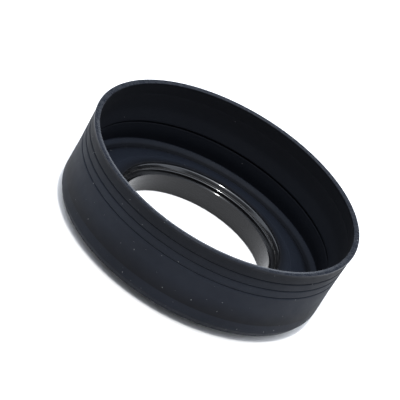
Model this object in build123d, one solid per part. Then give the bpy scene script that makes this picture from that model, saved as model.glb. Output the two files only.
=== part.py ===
from build123d import *

import os

# Collapsible rubber lens hood on a screw-in metal mount, stored with its stages folded into each other.
# Every piece is a ring turned about Z. The origin is the centre of the mount's rear face, +Z points
# forwards, away from the lens, and all sizes are in millimetres.

# Mount: the filter thread sets its size.
THREAD_DIAMETER = 49.0
THREAD_RADIUS = THREAD_DIAMETER / 2
BORE_RADIUS = 22.9
THREAD_CHAMFER = 0.4
SHOULDER_HEIGHT = 3.4
SHOULDER_RADIUS = 26.9
SHOULDER_TOP = 4.6
NECK_RADIUS = 23.7
NECK_TOP = 6.3
NECK_CHAMFER = 0.25

# Front ring: it clamps the rubber to the mount and holds the front filter thread.
FRONT_THREAD_RADIUS = 24.3
FRONT_THREAD_TOP = 7.4
FRONT_RING_RADIUS = 25.0
FRONT_RING_TOP = 8.5
FRONT_RING_CHAMFER_RADIUS = 24.8
CLAMP_RADIUS = 26.5
CLAMP_BOTTOM = 5.9
CLAMP_TOP = 6.8
SLEEVE_RADIUS = 24.95
SLEEVE_CLEARANCE = 0.05

# Rubber floor: a cone that falls back from the collar's lip to the hinge of the middle stage.
COLLAR_RADIUS = 25.1
COLLAR_TOP = 9.3
COLLAR_LIP_ROUND = 0.35
COLLAR_END_RADIUS = 28.6
HINGE_RADIUS = 35.9
HINGE_TOP = 5.55
FLOOR_THICKNESS = 1.1
FLOOR_SLOPE = (COLLAR_TOP - HINGE_TOP) / (HINGE_RADIUS - COLLAR_RADIUS)

# Middle stage: a short wall that stands on the edge of the floor.
MIDDLE_BOTTOM = 4.3
MIDDLE_TOP = 13.0
MIDDLE_OUTER_RADIUS = 38.35
MIDDLE_TOP_RADIUS = 37.8
MIDDLE_BULGE_RADIUS = 37.45
MIDDLE_BULGE_HEIGHT = 10.2
CREASE_RADIUS = 37.85
CREASE_HEIGHT = 6.95
LEDGE_RADIUS = 37.45
LEDGE_TOP = 7.1

# Fold web: the thin wall tucked between the middle stage and the front stage.
FOLD_INNER_RADIUS = 38.6
FOLD_THICKNESS = 0.75
FOLD_BOTTOM = 3.9
FOLD_TOP = 12.7

# Front stage: the outer wall narrows slightly from the rim's bead down to its waist.
RIM_RADIUS = 40.8
RIM_TOP = 26.2
RIM_THICKNESS = 1.5
RIM_ROUND = 0.3
BEAD_HEIGHT = 1.0
WALL_TOP_RADIUS = 40.6
WALL_RADIUS = 40.2
WAIST_HEIGHT = 12.5
WALL_BOTTOM = 2.8
WALL_BOTTOM_ROUND = 1.0
FOOT_INNER_RADIUS = 38.65
FOOT_TOP = 3.6
POCKET_RADIUS = 39.5
POCKET_TOP = 13.2
POCKET_EDGE_RADIUS = 37.65
POCKET_EDGE_HEIGHT = 13.35
INNER_BEND_RADIUS = 38.8
INNER_BEND_HEIGHT = 17.5
LIP_HEIGHT = 4.2
LIP_STEP = 0.05
GROOVE_DEPTHS_BELOW_RIM = (3.6, 6.15, 8.75)
GROOVE_WIDTH = 0.5
GROOVE_DEPTH = 0.35


def turned(*corners):
    """A solid of revolution about Z. Each corner is (radius, height) or (radius, height, rounding)."""
    points = [(corner[0], 0, corner[1]) for corner in corners]
    roundings = [corner[2] if len(corner) == 3 else 0 for corner in corners]
    outline = FilletPolyline(*points, radius=roundings, close=True)
    return revolve(make_face(outline), Axis.Z)


def floor_height(radius):
    """Height of the rubber floor's front face at a radius."""
    return COLLAR_TOP - FLOOR_SLOPE * (radius - COLLAR_RADIUS)


def mount_ring():
    """The metal ring with the bore, the rear filter thread and the shoulder that meets the lens."""
    return turned(
        (BORE_RADIUS, 0),
        (THREAD_RADIUS - THREAD_CHAMFER, 0),
        (THREAD_RADIUS, THREAD_CHAMFER),
        (THREAD_RADIUS, SHOULDER_HEIGHT),
        (SHOULDER_RADIUS, SHOULDER_HEIGHT),
        (SHOULDER_RADIUS, SHOULDER_TOP),
        (NECK_RADIUS, SHOULDER_TOP),
        (NECK_RADIUS, NECK_TOP),
        (BORE_RADIUS + NECK_CHAMFER, NECK_TOP),
        (BORE_RADIUS, NECK_TOP - NECK_CHAMFER),
    )


def front_ring():
    """The gloss ring on the mount's neck. Its flange presses the rubber collar onto the shoulder."""
    sleeve_bore = NECK_RADIUS + SLEEVE_CLEARANCE
    return turned(
        (sleeve_bore, SHOULDER_TOP),
        (SLEEVE_RADIUS, SHOULDER_TOP),
        (SLEEVE_RADIUS, CLAMP_BOTTOM),
        (CLAMP_RADIUS, CLAMP_BOTTOM),
        (CLAMP_RADIUS, CLAMP_TOP),
        (FRONT_RING_RADIUS, CLAMP_TOP),
        (FRONT_RING_RADIUS, FRONT_RING_TOP),
        (FRONT_RING_CHAMFER_RADIUS, FRONT_RING_TOP),
        (FRONT_THREAD_RADIUS, FRONT_THREAD_TOP),
        (FRONT_THREAD_RADIUS, NECK_TOP),
        (sleeve_bore, NECK_TOP),
    )


def rubber_collar():
    """The thick inner edge of the rubber, gripped between the shoulder and the front ring's flange."""
    clearance = SLEEVE_CLEARANCE
    end_top = floor_height(COLLAR_END_RADIUS)
    return turned(
        (COLLAR_RADIUS, SHOULDER_TOP),
        (COLLAR_RADIUS, CLAMP_BOTTOM - clearance),
        (CLAMP_RADIUS + clearance, CLAMP_BOTTOM - clearance),
        (CLAMP_RADIUS + clearance, CLAMP_TOP + clearance),
        (COLLAR_RADIUS, CLAMP_TOP + clearance),
        (COLLAR_RADIUS, COLLAR_TOP, COLLAR_LIP_ROUND),
        (COLLAR_END_RADIUS, end_top),
        (COLLAR_END_RADIUS, end_top - FLOOR_THICKNESS),
        (SHOULDER_RADIUS + FLOOR_THICKNESS, SHOULDER_TOP),
    )


def floor_web():
    """The conical floor, which turns over when the middle stage is pulled forwards."""
    inner, outer = COLLAR_END_RADIUS + SLEEVE_CLEARANCE, HINGE_RADIUS - 0.3
    return turned(
        (inner, floor_height(inner) - FLOOR_THICKNESS),
        (outer, floor_height(outer) - FLOOR_THICKNESS),
        (outer, floor_height(outer)),
        (inner, floor_height(inner)),
    )


def middle_wall():
    """The middle stage: a ledge at the floor's hinge and a wall whose inner face bulges inwards."""
    return turned(
        (HINGE_RADIUS, MIDDLE_BOTTOM, 0.3),
        (MIDDLE_OUTER_RADIUS, MIDDLE_BOTTOM, 0.3),
        (MIDDLE_OUTER_RADIUS, MIDDLE_TOP, 0.2),
        (MIDDLE_TOP_RADIUS, MIDDLE_TOP, 0.2),
        (MIDDLE_BULGE_RADIUS, MIDDLE_BULGE_HEIGHT, 3.0),
        (CREASE_RADIUS, CREASE_HEIGHT),
        (LEDGE_RADIUS, LEDGE_TOP, 0.15),
        (HINGE_RADIUS, HINGE_TOP),
    )


def fold_web():
    """The thin wall that joins the middle stage's top to the front stage's foot, folded between them."""
    outer = FOLD_INNER_RADIUS + FOLD_THICKNESS
    return turned(
        (FOLD_INNER_RADIUS, FOLD_BOTTOM),
        (outer, FOLD_BOTTOM),
        (outer, FOLD_TOP),
        (FOLD_INNER_RADIUS, FOLD_TOP),
    )


def wall_radius(height):
    """Radius of the outer wall at a height between its waist and the rim's bead."""
    rise = (height - WAIST_HEIGHT) / (RIM_TOP - BEAD_HEIGHT - WAIST_HEIGHT)
    return WALL_RADIUS + rise * (WALL_TOP_RADIUS - WALL_RADIUS)


def groove(height):
    """The three corners of one grip groove in the outer wall, from its upper edge down."""
    upper, lower = height + GROOVE_WIDTH / 2, height - GROOVE_WIDTH / 2
    return (
        (wall_radius(upper), upper),
        (wall_radius(height) - GROOVE_DEPTH, height),
        (wall_radius(lower), lower),
    )


def front_wall():
    """The front stage: rim, lip, outer wall with grip grooves, and the foot below the fold pocket."""
    rim_inner = RIM_RADIUS - RIM_THICKNESS
    lip_bottom = RIM_TOP - LIP_HEIGHT
    grooves = [
        corner for depth in GROOVE_DEPTHS_BELOW_RIM for corner in groove(RIM_TOP - depth)
    ]
    return turned(
        (RIM_RADIUS, RIM_TOP, RIM_ROUND),
        (RIM_RADIUS, RIM_TOP - BEAD_HEIGHT / 2),
        (WALL_TOP_RADIUS, RIM_TOP - BEAD_HEIGHT),
        *grooves,
        (WALL_RADIUS, WAIST_HEIGHT),
        (WALL_RADIUS, WALL_BOTTOM, WALL_BOTTOM_ROUND),
        (FOOT_INNER_RADIUS, WALL_BOTTOM, 0.3),
        (FOOT_INNER_RADIUS, FOOT_TOP),
        (POCKET_RADIUS, FOOT_TOP),
        (POCKET_RADIUS, POCKET_TOP),
        (POCKET_EDGE_RADIUS, POCKET_EDGE_HEIGHT),
        (INNER_BEND_RADIUS, INNER_BEND_HEIGHT),
        (rim_inner - LIP_STEP, lip_bottom - LIP_STEP),
        (rim_inner, lip_bottom),
        (rim_inner, RIM_TOP, RIM_ROUND),
    )


os.makedirs("parts", exist_ok=True)
for make in (mount_ring, front_ring, rubber_collar, floor_web, middle_wall, fold_web, front_wall):
    export_step(make(), f"parts/{make.__name__}.step")
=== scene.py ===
import math

import bpy
import numpy as np
from mathutils import Matrix, Vector


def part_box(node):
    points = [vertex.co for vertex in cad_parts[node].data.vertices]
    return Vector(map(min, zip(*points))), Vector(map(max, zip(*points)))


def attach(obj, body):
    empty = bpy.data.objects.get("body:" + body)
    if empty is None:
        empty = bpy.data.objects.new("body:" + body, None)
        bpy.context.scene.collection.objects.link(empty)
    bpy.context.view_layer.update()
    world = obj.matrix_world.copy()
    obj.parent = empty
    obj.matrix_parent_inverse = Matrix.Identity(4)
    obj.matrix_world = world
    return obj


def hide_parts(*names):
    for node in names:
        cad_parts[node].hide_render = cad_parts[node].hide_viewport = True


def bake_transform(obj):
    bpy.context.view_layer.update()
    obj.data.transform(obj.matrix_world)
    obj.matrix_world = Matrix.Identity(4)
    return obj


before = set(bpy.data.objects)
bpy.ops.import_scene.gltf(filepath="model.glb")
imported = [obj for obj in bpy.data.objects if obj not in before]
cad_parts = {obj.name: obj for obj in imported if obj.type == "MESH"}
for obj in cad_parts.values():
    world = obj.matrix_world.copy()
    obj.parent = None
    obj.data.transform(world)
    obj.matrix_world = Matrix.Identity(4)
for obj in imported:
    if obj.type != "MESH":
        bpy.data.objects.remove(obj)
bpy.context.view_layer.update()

# Collapsible rubber lens hood on a screw-in metal ring. Sizes are in millimetres until a mesh is written.
MM = 0.001
SEGMENTS = 320
ARC_STEP = math.radians(12)
LONGEST_REACH = 0.49
SHARP = 0.0
EDGE = 0.05

# Metal rings.
THREAD_PITCH = 0.75
THREAD_RADIUS = 24.5
THREAD_DEPTH = 0.42
THREAD_CHAMFER = 0.4
THREAD_RUNOUT = 0.35
THREAD_SPACING = 0.06
UNDERCUT_RADIUS = THREAD_RADIUS - 0.45
BORE_RADIUS = 22.9
REAR_CHAMFER = 0.25
BORE_CHAMFER = 0.2
SHOULDER_HEIGHT = 3.4
SHOULDER_TOP = 4.6
NECK_RADIUS = 23.7
RELIEF_RADIUS = 23.14
RELIEF_DEPTH = 0.5
FRONT_THREAD_RADIUS = 24.3
FRONT_THREAD_DEPTH = 0.2
FRONT_THREAD_START = 0.4
FRONT_THREAD_TOP = 7.5
FRONT_RING_RADIUS = 25.0
CLAMP_BOTTOM = 5.9
CLAMP_TOP = 6.8

# Rubber, from the collar outwards.
COLLAR_RADIUS = 25.1
CREASE_WIDTH = 0.3
CREASE_DEPTH = 0.06
HINGE_RADIUS = 35.9
HINGE_TOP = 5.55
HINGE_DROP = 0.35
FLOOR_THICKNESS = 1.1
FLOOR_END_RADIUS = 35.2
MIDDLE_TOP_RADIUS = 37.8
MIDDLE_TOP_DROP = 0.25
MIDDLE_BULGE = (37.45, 10.2)
LEDGE_CREASE = (37.85, 6.95)
LEDGE_OUTER = (37.45, 7.1)
LEDGE_INNER = (36.4, 6.1)
FOLD_INNER_RADIUS = 38.6
FOLD_OVERLAP = 0.25
ROLL_BOTTOM = 12.2
ROLL_ROUND = 0.7
POCKET_RADIUS = 39.5
POCKET_TOP = 13.2
POCKET_EDGE = (37.62, 13.35)
INNER_BEND = (38.8, 17.5)
RIM_THICKNESS = 1.5
RIM_EDGE_WIDTH = 0.7
RIM_EDGE_DROP = 0.15
BEAD_HEIGHT = 1.0
LIP_HEIGHT = 4.1
WALL_TOP_RADIUS = 40.6
WALL_RADIUS = 40.2
WAIST_HEIGHT = 12.5
FOOT_HEIGHT = 4.4
FOOT_RADIUS = 39.4
GROOVE_DEPTHS_BELOW_RIM = (3.6, 6.15, 8.75)
GROOVE_HALF_WIDTH = 0.3
GROOVE_DEPTH = 0.36
OUT_OF_ROUND = 0.07

# The rubber's colours: its own, a lighter one for painted light and a painted highlight, scuffs and dust;
# and the sizes between which its zones of painted light fade in or out.
RUBBER_DARK = (0.0005, 0.0009, 0.0022, 1)
# The colour that painted light and the rim's painted highlight lighten the rubber towards.
RUBBER_PAINTED_LIGHT = (0.0054, 0.0074, 0.0122, 1)
RUBBER_SCUFF = (0.035, 0.036, 0.039, 1)
DUST = (0.3, 0.3, 0.3, 1)
OUTER_FACE_RADII = (39.7, 39.9)
WAIST_LOW_HEIGHTS = (7, 13)
WAIST_HIGH_HEIGHTS = (18, 24)
FLOOR_INNER_RADII = (25.6, 29.5)
FLOOR_OUTER_RADII = (32.4, 35.2)
LEDGE_RADII = (36.2, 36.8)
LEDGE_HEIGHTS = (7.1, 7.3)
INNER_FACE_HEIGHTS = (15, 21)

# Metal's colours.
METAL_DARK = (0.002, 0.002, 0.0023, 1)
SATIN_LIGHT = (0.004, 0.004, 0.0046, 1)
GLOSS_LIGHT = (0.0033, 0.0033, 0.0036, 1)

# Noises, as their scale, detail and roughness.
BLOTCHES = (45.0, 3.0, 0.5)
MOTTLE = (260.0, 4.0, 0.6)
SCUFFS = (900.0, 5.0, 0.7)
GRAIN = (5200.0, 3.0, 0.6)
METAL_WEAR = (300.0, 4.0, 0.6)
LATHE_MARKS = (1.0, 2.0, 0.6)
LATHE_MARKS_ACROSS = 9000.0
LATHE_MARKS_ALONG = 60.0
SPECK_SCALE = 240.0

# Camera, from the lens hood's own centre line.
CAMERA_DISTANCE = 704.4
CAMERA_ELEVATION = 28.22
CAMERA_ROLL = 31.27
CAMERA_LENS = 231.8
CAMERA_SENSOR = 36
CAMERA_AIM = (-3.06, -20.83)

# Studio light. Each part of the world fades between two values of a direction's X, Y or Z.
DAYLIGHT = (0.88, 0.95, 1.07, 1)
HORIZON = 0.15
CEILING = 2.9
CEILING_Z = (math.sin(math.radians(30)), math.sin(math.radians(65)))
BACKDROP = 2.6
BACKDROP_Y = (0.4, 0.9)
BACKDROP_Z = (0.2, 0.4)
SIDES = 1.7
SIDES_X = (0.6, 0.85)
LAMP_ELEVATION = 62
LAMP_DISTANCE = 1.2
LAMP_SIZE = 0.12
LAMP_POWER = 8.0
FLOOR_HALF_WIDTH = 2.0
FLOOR_WHITE = (0.92, 0.895, 0.86, 1)


def ring_size(node):
    """Outer radius, bottom and top of a CAD ring."""
    low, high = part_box(node)
    return high.x / MM, low.z / MM, high.z / MM


rim_radius, wall_bottom, rim_top = ring_size("front_wall")
middle_radius, middle_bottom, middle_top = ring_size("middle_wall")
fold_radius, fold_bottom, _ = ring_size("fold_web")
collar_end, collar_bottom, lip_top = ring_size("rubber_collar")
clamp_radius, sleeve_bottom, front_ring_top = ring_size("front_ring")
shoulder_radius, mount_bottom, neck_top = ring_size("mount_ring")

rim_inner = rim_radius - RIM_THICKNESS
recess_bottom = neck_top - RELIEF_DEPTH
fold_foot = fold_bottom - FOLD_OVERLAP
floor_slope = (lip_top - HINGE_TOP) / (HINGE_RADIUS - COLLAR_RADIUS)


# Outlines and rings

def spaced(start, end, spacing):
    """Points after start, before end, no further apart than spacing."""
    steps = max(1, math.ceil((end - start).length / spacing))
    return [start.lerp(end, i / steps) for i in range(1, steps)]


def rounded_corner(before, corner, after, rounding):
    """The points that replace a corner, on an arc that touches both of its edges."""
    to_before, to_after = before - corner, after - corner
    half = to_before.angle(to_after) / 2
    reach = min(rounding / math.tan(half), LONGEST_REACH * to_before.length, LONGEST_REACH * to_after.length)
    radius = reach * math.tan(half)
    middle = (to_before.normalized() + to_after.normalized()).normalized()
    centre = corner + middle * radius / math.sin(half)
    first = corner + to_before.normalized() * reach - centre
    last = corner + to_after.normalized() * reach - centre
    sweep = math.atan2(first.x * last.y - first.y * last.x, first.dot(last))
    steps = max(2, math.ceil(abs(sweep) / ARC_STEP))
    return [centre + Matrix.Rotation(sweep * i / steps, 2) @ first for i in range(steps + 1)]


def outline(corners, spacing):
    """A closed outline as radius and height, and which of its points are sharp.

    Each corner is (radius, height, rounding) or (radius, height, rounding, spacing up to the next one).
    """
    places = [Vector(corner[:2]) for corner in corners]
    turns = []
    for i, corner in enumerate(corners):
        if corner[2] == SHARP:
            turns.append([places[i]])
        else:
            following = places[(i + 1) % len(places)]
            turns.append(rounded_corner(places[i - 1], places[i], following, corner[2]))
    points, sharp = [], []
    for i, turn in enumerate(turns):
        step = corners[i][3] if len(corners[i]) == 4 else spacing
        run = spaced(turn[-1], turns[(i + 1) % len(turns)][0], step)
        points += turn + run
        sharp += [len(turn) == 1] + [False] * (len(turn) + len(run) - 1)
    line = np.array(points)
    following = np.roll(line, -1, axis=0)
    area = (line[:, 0] * following[:, 1] - following[:, 0] * line[:, 1]).sum()
    sharp = np.array(sharp)
    return (line, sharp) if area > 0 else (line[::-1], sharp[::-1])


def turned(name, corners, spacing=0.6, shape=None):
    """A ring turned about Z.

    shape takes radius, height and angle arrays and returns new radii and heights.
    """
    line, sharp = outline(corners, spacing)
    count = len(line)
    angle = np.linspace(0, 2 * math.pi, SEGMENTS, endpoint=False)[:, None]
    radius = np.repeat(line[None, :, 0], SEGMENTS, axis=0)
    height = np.repeat(line[None, :, 1], SEGMENTS, axis=0)
    if shape:
        radius, height = shape(radius, height, angle)
    points = np.stack([radius * np.cos(angle), radius * np.sin(angle), height], axis=2)
    points = points.reshape(-1, 3) * MM
    turn = np.repeat(np.arange(SEGMENTS), count)
    step = np.tile(np.arange(count), SEGMENTS)
    next_turn, next_step = (turn + 1) % SEGMENTS, (step + 1) % count
    quads = np.stack([
        turn * count + step,
        next_turn * count + step,
        next_turn * count + next_step,
        turn * count + next_step,
    ], axis=1)
    mesh = bpy.data.meshes.new(name)
    mesh.from_pydata(points.tolist(), [], quads.tolist())
    mesh.shade_smooth()
    mark_sharp_rings(mesh, sharp, count)
    piece = bpy.data.objects.new(name, mesh)
    bpy.context.scene.collection.objects.link(piece)
    return piece


def mark_sharp_rings(mesh, sharp, count):
    """Marks the edges that run round the ring at the outline's sharp points."""
    ends = np.zeros(len(mesh.edges) * 2, np.int32)
    mesh.edges.foreach_get("vertices", ends)
    ends = ends.reshape(-1, 2) % count
    mark = (ends[:, 0] == ends[:, 1]) & sharp[ends[:, 0]]
    mesh.attributes.new("sharp_edge", "BOOLEAN", "EDGE").data.foreach_set("value", mark)


def wavy(radius, height, angle):
    """Rubber is never quite round: it leans inwards by a few hundredths, more towards the rim."""
    wave = 0.5 + 0.3 * np.sin(2 * angle + 0.6) + 0.2 * np.sin(5 * angle + 2.1)
    rise = np.clip(height / rim_top, 0, 1)
    return radius - OUT_OF_ROUND * wave * rise, height


def threaded(depth, low, high, face, outside):
    """A shape for turned() that cuts a thread into the face of that radius, between two heights.

    The profile is 0 on the flat crests and 1 in the flat roots, and the thread fades out at both ends.
    """
    fade = 0.3 * THREAD_PITCH

    def shape(radius, height, angle):
        phase = (height / THREAD_PITCH - angle / (2 * math.pi)) % 1
        profile = np.clip(3.2 * np.abs(phase - 0.5) - 0.35, 0, 1)
        ends = np.clip((height - low) / fade, 0, 1) * np.clip((high - height) / fade, 0, 1)
        on_face = np.abs(radius - face) < 1e-3
        cut = depth * profile * ends * on_face
        return radius - cut if outside else radius + cut, height

    return shape


# Pieces

def floor_height(radius):
    """Height of the rubber floor's front face at a radius."""
    return lip_top - floor_slope * (radius - COLLAR_RADIUS)


def make_mount_ring():
    low, high = mount_bottom + THREAD_RUNOUT, SHOULDER_HEIGHT - THREAD_RUNOUT
    return turned("mount_ring_satin", [
        (BORE_RADIUS, mount_bottom + REAR_CHAMFER, 0.04),
        (BORE_RADIUS + REAR_CHAMFER, mount_bottom, 0.04),
        (THREAD_RADIUS - THREAD_CHAMFER, mount_bottom, EDGE),
        (THREAD_RADIUS, mount_bottom + THREAD_CHAMFER, 0.02, THREAD_SPACING),
        (THREAD_RADIUS, high, 0.02),
        (UNDERCUT_RADIUS, SHOULDER_HEIGHT - 0.2, EDGE),
        (UNDERCUT_RADIUS, SHOULDER_HEIGHT, EDGE),
        (shoulder_radius, SHOULDER_HEIGHT, 0.15),
        (shoulder_radius, SHOULDER_TOP, 0.1),
        (NECK_RADIUS, SHOULDER_TOP, EDGE),
        (NECK_RADIUS, recess_bottom, EDGE),
        (RELIEF_RADIUS, recess_bottom, EDGE),
        (RELIEF_RADIUS - 0.02, neck_top, 0.03),
        (BORE_RADIUS + BORE_CHAMFER, neck_top, SHARP),
        (BORE_RADIUS, neck_top - BORE_CHAMFER, EDGE),
    ], 0.5, threaded(THREAD_DEPTH, low, high, THREAD_RADIUS, outside=True))


def make_front_ring():
    """The flat top ends in a 45 degree facet, and a steeper chamfer leads down to the thread."""
    low = neck_top + FRONT_THREAD_START
    top = front_ring_top - 0.05
    return turned("front_ring_gloss", [
        (NECK_RADIUS + 0.05, sleeve_bottom, EDGE),
        (FRONT_RING_RADIUS - 0.05, sleeve_bottom, EDGE),
        (FRONT_RING_RADIUS - 0.05, CLAMP_BOTTOM, EDGE),
        (clamp_radius, CLAMP_BOTTOM, 0.1),
        (clamp_radius, CLAMP_TOP, 0.1),
        (FRONT_RING_RADIUS, CLAMP_TOP, EDGE),
        (FRONT_RING_RADIUS, top, EDGE),
        (FRONT_RING_RADIUS - 0.08, top, 0.03),
        (FRONT_RING_RADIUS - 0.26, front_ring_top - 0.23, 0.6),
        (FRONT_THREAD_RADIUS, FRONT_THREAD_TOP, 0.3, THREAD_SPACING),
        (FRONT_THREAD_RADIUS, recess_bottom, EDGE),
        (NECK_RADIUS + 0.02, recess_bottom, 0.02),
    ], 0.4, threaded(FRONT_THREAD_DEPTH, low, FRONT_THREAD_TOP, FRONT_THREAD_RADIUS, outside=False))


def make_collar():
    """The groove in its inner side holds the front ring's flange."""
    end_top = floor_height(collar_end)
    crease_start = collar_end - CREASE_WIDTH
    groove_bottom, groove_top = CLAMP_BOTTOM - 0.05, CLAMP_TOP + 0.05
    return turned("collar_rubber", [
        (COLLAR_RADIUS, collar_bottom, EDGE),
        (COLLAR_RADIUS, groove_bottom, EDGE),
        (clamp_radius + 0.05, groove_bottom, EDGE),
        (clamp_radius + 0.05, groove_top, EDGE),
        (COLLAR_RADIUS, groove_top, EDGE),
        (COLLAR_RADIUS, lip_top, 0.15),
        (crease_start, floor_height(crease_start), 0.1),
        (collar_end, end_top - CREASE_DEPTH, SHARP),
        (collar_end, end_top - FLOOR_THICKNESS, SHARP),
        (shoulder_radius + FLOOR_THICKNESS, collar_bottom, 0.5),
    ], 0.5, wavy)


def make_floor_web():
    outer = HINGE_RADIUS - 0.05
    outer_top, inner_top = floor_height(outer), floor_height(collar_end)
    crease_end = collar_end + CREASE_WIDTH
    return turned("floor_web_rubber", [
        (collar_end, inner_top - FLOOR_THICKNESS, SHARP),
        (outer, outer_top - FLOOR_THICKNESS, 0.2),
        (outer, outer_top - HINGE_DROP, EDGE),
        (FLOOR_END_RADIUS, floor_height(FLOOR_END_RADIUS), 1.2),
        (crease_end, floor_height(crease_end), 0.1),
        (collar_end, inner_top - CREASE_DEPTH, SHARP),
    ], 0.3, wavy)


def make_middle_wall():
    """The wall's top is the roll that the fold web hangs from."""
    return turned("middle_wall_rubber", [
        (HINGE_RADIUS, middle_bottom, 0.3),
        (middle_radius, middle_bottom, 0.3),
        (middle_radius, ROLL_BOTTOM + 0.1, 0.1),
        (FOLD_INNER_RADIUS, ROLL_BOTTOM + 0.1, 0.1),
        (FOLD_INNER_RADIUS, ROLL_BOTTOM, SHARP),
        (fold_radius, ROLL_BOTTOM, SHARP),
        (fold_radius, middle_top, ROLL_ROUND),
        (MIDDLE_TOP_RADIUS, middle_top - MIDDLE_TOP_DROP, 0.1),
        (*MIDDLE_BULGE, 8.0),
        (*LEDGE_CREASE, 0.08),
        (*LEDGE_OUTER, 0.2),
        (*LEDGE_INNER, 0.4),
        (HINGE_RADIUS, HINGE_TOP - HINGE_DROP, EDGE),
    ], 0.4, wavy)


def make_fold_web():
    return turned("fold_web_rubber", [
        (FOLD_INNER_RADIUS, fold_foot, SHARP),
        (fold_radius, fold_foot, SHARP),
        (fold_radius, ROLL_BOTTOM, SHARP),
        (FOLD_INNER_RADIUS, ROLL_BOTTOM, SHARP),
    ], 0.35, wavy)


def wall_radius(height):
    """Radius of the outer wall between its waist and the rim's bead."""
    rise = (height - WAIST_HEIGHT) / (rim_top - BEAD_HEIGHT - WAIST_HEIGHT)
    return WALL_RADIUS + rise * (WALL_TOP_RADIUS - WALL_RADIUS)


def grip_groove(height):
    """The three corners of a groove in the outer wall, from its upper edge down."""
    upper, lower = height + GROOVE_HALF_WIDTH, height - GROOVE_HALF_WIDTH
    return [
        (wall_radius(upper), upper, 0.15),
        (wall_radius(height) - GROOVE_DEPTH, height, 0.06),
        (wall_radius(lower), lower, 0.15),
    ]


def make_front_wall():
    """Its foot holds the end of the fold web, and the rim's inner edge is worn down a little."""
    foot_inner, foot_top = FOLD_INNER_RADIUS + 0.05, fold_bottom - 0.3
    lip_bottom = rim_top - LIP_HEIGHT
    grooves = [corner for depth in GROOVE_DEPTHS_BELOW_RIM for corner in grip_groove(rim_top - depth)]
    return turned("front_wall_rubber", [
        (rim_radius, rim_top, 0.18),
        (rim_radius, rim_top - 0.5 * BEAD_HEIGHT, 0.3),
        (WALL_TOP_RADIUS, rim_top - BEAD_HEIGHT, 0.3),
        *grooves,
        (WALL_RADIUS, WAIST_HEIGHT, 20.0),
        (WALL_RADIUS, FOOT_HEIGHT, 0.9),
        (FOOT_RADIUS + 0.05, wall_bottom + 0.25, 0.15),
        (FOOT_RADIUS, wall_bottom, 0.06),
        (foot_inner, wall_bottom, 0.35),
        (foot_inner, foot_top, EDGE),
        (POCKET_RADIUS, foot_top, 0.2),
        (POCKET_RADIUS, POCKET_TOP, 0.1),
        (*POCKET_EDGE, 0.3),
        (*INNER_BEND, 8.0),
        (rim_inner - 0.04, lip_bottom - 0.1, 0.1),
        (rim_inner, lip_bottom, 0.1),
        (rim_inner, rim_top - RIM_EDGE_WIDTH, 0.3),
        (rim_inner - 0.14, rim_top - RIM_EDGE_DROP, EDGE),
        (rim_inner + RIM_EDGE_WIDTH, rim_top, 0.3),
    ], 0.6, wavy)


# Materials

class Nodes:
    """Short calls for building the node tree of a material or a world."""

    def __init__(self, owner):
        owner.use_nodes = True
        self.owner = owner
        self.tree = owner.node_tree

    def add(self, kind, inputs=None, **settings):
        node = self.tree.nodes.new("ShaderNode" + kind)
        for key, value in settings.items():
            setattr(node, key, value)
        for key, value in (inputs or {}).items():
            self.set(node.inputs[key], value)
        return node

    def set(self, socket, value):
        if isinstance(value, bpy.types.NodeSocket):
            self.tree.links.new(value, socket)
        else:
            socket.default_value = value

    def shade(self, name, value):
        self.set(self.tree.nodes["Principled BSDF"].inputs[name], value)

    def math(self, operation, a, b=0.0):
        return self.add("Math", {0: a, 1: b}, operation=operation).outputs[0]

    def mix(self, share, a, b):
        return self.add("Mix", {"Factor": share, 6: a, 7: b}, data_type="RGBA").outputs[2]

    def noise(self, place, scale, detail, roughness):
        inputs = {"Vector": place, "Scale": scale, "Detail": detail, "Roughness": roughness}
        return self.add("TexNoise", inputs).outputs["Fac"]

    def between(self, value, span, low, high, **settings):
        """low at the start of the span, high at its end, and even in between."""
        inputs = {0: value, 1: span[0], 2: span[1], 3: low, 4: high}
        return self.add("MapRange", inputs, **settings).outputs[0]

    def along(self, value, span, low, high):
        """The same, for a span in millimetres."""
        return self.between(value, (span[0] * MM, span[1] * MM), low, high)

    def bump(self, height, strength, distance, **others):
        inputs = {"Height": height, "Strength": strength, "Distance": distance, **others}
        return self.add("Bump", inputs).outputs[0]

    def places(self):
        """Place on the object, and its height and radius."""
        place = self.add("TexCoord").outputs["Object"]
        x, y, z = self.add("SeparateXYZ", {0: place}).outputs
        flat = self.add("CombineXYZ", {0: x, 1: y}).outputs[0]
        radius = self.add("VectorMath", {0: flat}, operation="LENGTH").outputs["Value"]
        return place, z, radius

    def unrolled(self, place, height, radius):
        """The place on a surface that is unrolled round the axis, so that spots on it stay round."""
        x, y, _ = self.add("SeparateXYZ", {0: place}).outputs
        round_axis = self.math("MULTIPLY", self.math("ARCTAN2", y, x), rim_radius * MM)
        across = self.math("ADD", height, radius)
        return self.add("CombineXYZ", {0: round_axis, 1: across, 2: 0.0}).outputs[0]


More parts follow.
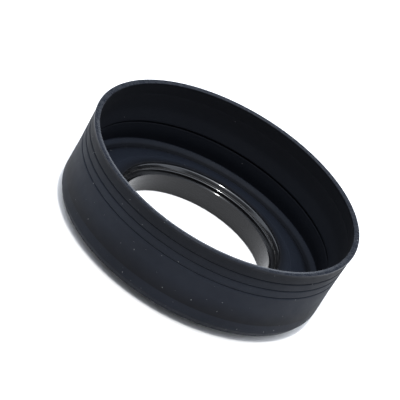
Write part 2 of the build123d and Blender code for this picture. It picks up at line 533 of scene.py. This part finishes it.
def painted_light_zones(n, place, height, radius, outside, rim):
    """How much painted light lightens the rubber, in zones where light falls on it and as a painted
    highlight along the rim, times a soft blotch.
    """
    # Painted light, zone by zone: the outer wall lighter at mid height, the floor web across its middle, the
    # ledge and the faces out beyond it low down, the inner faces below mid height, and a painted highlight
    # along the rim's top.
    waist = n.math(
        "MULTIPLY",
        n.along(height, WAIST_LOW_HEIGHTS, 0.0, 1.0),
        n.along(height, WAIST_HIGH_HEIGHTS, 1.0, 0.2),
    )
    floor = n.math(
        "MULTIPLY",
        n.along(radius, FLOOR_OUTER_RADII, 1.0, 0.0),
        n.along(radius, FLOOR_INNER_RADII, 0.0, 1.0),
    )
    ledge = n.math(
        "MULTIPLY",
        n.along(radius, LEDGE_RADII, 0.0, 1.0),
        n.along(height, LEDGE_HEIGHTS, 1.0, 0.0),
    )
    inside = n.math("SUBTRACT", 1.0, outside)
    inside = n.math("MULTIPLY", inside, n.along(height, INNER_FACE_HEIGHTS, 0.2, 0.0))
    lit_share = n.math("ADD", n.math("MULTIPLY", outside, waist), n.math("MULTIPLY", floor, 1.4))
    lit_share = n.math("ADD", lit_share, n.math("MAXIMUM", n.math("MULTIPLY", ledge, 0.8), inside))
    lit_share = n.math("ADD", lit_share, rim)
    blotch = n.noise(place, *BLOTCHES)
    return n.math("MULTIPLY", lit_share, n.between(blotch, (0.3, 0.7), 0.75, 1.25))


def dust_specks(n, place, height, radius, outside):
    """How much of a dust speck covers each place. Most specks are on the outer face."""
    cells = n.add(
        "TexVoronoi",
        {"Vector": n.unrolled(place, height, radius), "Scale": SPECK_SCALE},
        voronoi_dimensions="2D",
    )
    luck, size, strength = n.add("SeparateColor", {0: cells.outputs["Color"]}).outputs
    near = n.math("LESS_THAN", cells.outputs["Distance"], n.between(size, (0.0, 1.0), 0.01, 0.027))
    kept = n.math("GREATER_THAN", luck, n.between(outside, (0.0, 1.0), 0.95, 0.5))
    return n.math("MULTIPLY", n.math("MULTIPLY", near, kept), n.between(strength, (0.0, 1.0), 0.1, 0.9))


def rubber_material():
    """Matt black rubber, lightened by painted light in zones and by a painted highlight along the rim, with
    a rim that handling has polished and scuffed, and specks of dust.
    """
    n = Nodes(bpy.data.materials.new("rubber"))
    place, height, radius = n.places()
    outside = n.along(radius, OUTER_FACE_RADII, 0.0, 1.0)
    # The rim's top: scuffed by handling, and given a painted highlight.
    rim = n.along(height, (rim_top - 0.5, rim_top - 0.05), 0.0, 1.0)
    scuff = n.math("MULTIPLY", rim, n.between(n.noise(place, *SCUFFS), (0.4, 0.75), 0.0, 1.0))
    # Painted light and the rim's painted highlight lighten the rubber's own colour.
    colour = n.mix(painted_light_zones(n, place, height, radius, outside, rim), RUBBER_DARK, RUBBER_PAINTED_LIGHT)
    colour = n.mix(n.math("MULTIPLY", scuff, 0.5), colour, RUBBER_SCUFF)
    colour = n.mix(dust_specks(n, place, height, radius, outside), colour, DUST)
    mottle = n.noise(place, *MOTTLE)
    polish = n.along(height, (rim_top - 0.5, rim_top - 0.2), 0.0, 0.42)
    rough = n.math("SUBTRACT", n.between(mottle, (0.25, 0.75), 0.62, 0.72), polish)
    grain = n.noise(place, *GRAIN)
    n.shade("Base Color", colour)
    n.shade("Roughness", n.math("ADD", rough, n.math("MULTIPLY", scuff, 0.1)))
    n.shade("Specular IOR Level", 0.145)
    n.shade("Normal", n.bump(grain, 0.35, 0.000012, Normal=n.bump(mottle, 0.25, 0.00006)))
    return n.owner


def turning_marks(n, place, height, radius):
    """Fine lines left by the lathe, round the axis."""
    up = n.math("MULTIPLY", height, LATHE_MARKS_ACROSS)
    out = n.math("MULTIPLY", radius, LATHE_MARKS_ACROSS)
    across = n.add("CombineXYZ", {0: n.math("ADD", up, out)}).outputs[0]
    stretch = (LATHE_MARKS_ALONG, LATHE_MARKS_ALONG, 0.0)
    along = n.add("VectorMath", {0: place, 1: stretch}, operation="MULTIPLY").outputs[0]
    return n.noise(n.add("VectorMath", {0: across, 1: along}, operation="ADD").outputs[0], *LATHE_MARKS)


def metal_material(name, light, wear, rough, specular, coat, marks_depth):
    """Black turned metal under a clear coat, which is given as its weight and roughness.

    wear is the noise that mixes the metal's two colours, or None where the lathe's marks do so.
    """
    n = Nodes(bpy.data.materials.new(name))
    place, height, radius = n.places()
    marks = turning_marks(n, place, height, radius)
    share = n.noise(place, *wear) if wear else marks
    n.shade("Base Color", n.mix(share, METAL_DARK, light))
    n.shade("Roughness", n.between(marks, (0.3, 0.7), *rough))
    n.shade("Specular IOR Level", specular)
    n.shade("Coat Weight", coat[0])
    n.shade("Coat Roughness", coat[1])
    n.shade("Normal", n.bump(marks, marks_depth, 0.00001))
    return n.owner


def satin_metal_material():
    return metal_material(
        "mount_satin", SATIN_LIGHT, wear=METAL_WEAR, rough=(0.20, 0.30), specular=0.15,
        coat=(0.36, 0.06), marks_depth=0.12,
    )


def gloss_metal_material():
    return metal_material(
        "front_ring_gloss", GLOSS_LIGHT, wear=None, rough=(0.28, 0.38), specular=0.35,
        coat=(0.85, 0.05), marks_depth=0.06,
    )


# Bodies

def bend(piece, a, b, share):
    """Bakes a ring's placement into its mesh; it is not bent between the two bodies nor attached to them.
    share gives each point's part of b, from its radius and height.
    """
    co = np.zeros(len(piece.data.vertices) * 3, np.float32)
    piece.data.vertices.foreach_get("co", co)
    co = co.reshape(-1, 3) / MM
    weights = share(np.hypot(co[:, 0], co[:, 1]), co[:, 2])
    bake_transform(piece)


def floor_share(radius, height):
    part = np.clip((radius - collar_end) / (HINGE_RADIUS - 0.1 - collar_end), 0, 1)
    return part * part * (3 - 2 * part)


def fold_share(radius, height):
    return np.clip((ROLL_BOTTOM - height) / (ROLL_BOTTOM - fold_foot), 0, 1)


rubber = rubber_material()
PIECES = [
    (make_mount_ring, satin_metal_material(), "mount", "mount_ring", "mount_metal"),
    (make_front_ring, gloss_metal_material(), "mount", "front_ring", "ring_gloss"),
    (make_collar, rubber, "mount", "rubber_collar", "rubber"),
    (make_floor_web, rubber, ("mount", "middle_stage", floor_share), "floor_web", "rubber"),
    (make_middle_wall, rubber, "middle_stage", "middle_wall", "rubber"),
    (make_fold_web, rubber, ("middle_stage", "front_stage", fold_share), "fold_web", "rubber"),
    (make_front_wall, rubber, "front_stage", "front_wall", "rubber"),
]
for make, material, body, node, slot in PIECES:
    piece = make()
    piece.data.materials.append(material)
    if isinstance(body, str):
        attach(piece, body)
    else:
        bend(piece, *body)
    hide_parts(node)


# Stage, light and camera

def make_floor():
    mesh = bpy.data.meshes.new("stage_floor")
    half = FLOOR_HALF_WIDTH
    corners = [(-half, -half, 0), (half, -half, 0), (half, half, 0), (-half, half, 0)]
    mesh.from_pydata(corners, [], [(0, 1, 2, 3)])
    floor = bpy.data.objects.new("stage_floor", mesh)
    bpy.context.scene.collection.objects.link(floor)
    n = Nodes(bpy.data.materials.new("floor_white"))
    n.shade("Base Color", FLOOR_WHITE)
    n.shade("Roughness", 0.6)
    n.shade("Specular IOR Level", 0.2)
    mesh.materials.append(n.owner)


def make_world():
    """A bright ceiling over a dim horizon, a low backdrop behind the hood and a light on each side."""
    n = Nodes(bpy.data.worlds.new("studio"))
    x, y, z = n.add("SeparateXYZ", {0: n.add("TexCoord").outputs["Generated"]}).outputs
    smooth = {"interpolation_type": "SMOOTHSTEP"}
    ceiling = n.between(z, CEILING_Z, HORIZON, CEILING, **smooth)
    backdrop = n.between(y, BACKDROP_Y, 0.0, BACKDROP, **smooth)
    backdrop = n.math("MULTIPLY", backdrop, n.between(z, BACKDROP_Z, 1.0, 0.0, **smooth))
    sides = n.between(n.math("ABSOLUTE", x), SIDES_X, 0.0, SIDES, **smooth)
    background = n.tree.nodes["Background"]
    n.set(background.inputs["Color"], DAYLIGHT)
    n.set(background.inputs["Strength"], n.math("MAXIMUM", ceiling, n.math("MAXIMUM", backdrop, sides)))
    bpy.context.scene.world = n.owner


def make_lamp():
    """One small lamp above the camera, for the glints on the metal."""
    data = bpy.data.lights.new("lamp", "AREA")
    data.shape = "DISK"
    data.size = LAMP_SIZE
    data.energy = LAMP_POWER
    lamp = bpy.data.objects.new("lamp", data)
    tilt = math.radians(LAMP_ELEVATION)
    lamp.location = (0, -LAMP_DISTANCE * math.cos(tilt), LAMP_DISTANCE * math.sin(tilt))
    lamp.rotation_euler = (-lamp.location).to_track_quat("-Z", "Y").to_euler()
    bpy.context.scene.collection.objects.link(lamp)


def make_camera():
    """The camera looks down at the hood from the front and is rolled about its own axis."""
    scene = bpy.context.scene
    data = bpy.data.cameras.new("camera")
    data.lens = CAMERA_LENS
    data.sensor_width = CAMERA_SENSOR
    data.clip_start, data.clip_end = 0.05, 20
    camera = bpy.data.objects.new("camera", data)
    scene.collection.objects.link(camera)
    tilt = math.radians(CAMERA_ELEVATION)
    rim_centre = Vector((0, 0, rim_top))
    place = rim_centre + CAMERA_DISTANCE * Vector((0, -math.cos(tilt), math.sin(tilt)))
    aim = Vector((*CAMERA_AIM, rim_top))
    roll = Matrix.Rotation(math.radians(CAMERA_ROLL), 4, "Z").to_quaternion()
    camera.rotation_mode = "QUATERNION"
    camera.location = place * MM
    camera.rotation_quaternion = (aim - place).to_track_quat("-Z", "Y") @ roll
    scene.camera = camera
    scene.view_settings.view_transform = "Standard"


make_floor()
make_world()
make_lamp()
make_camera()
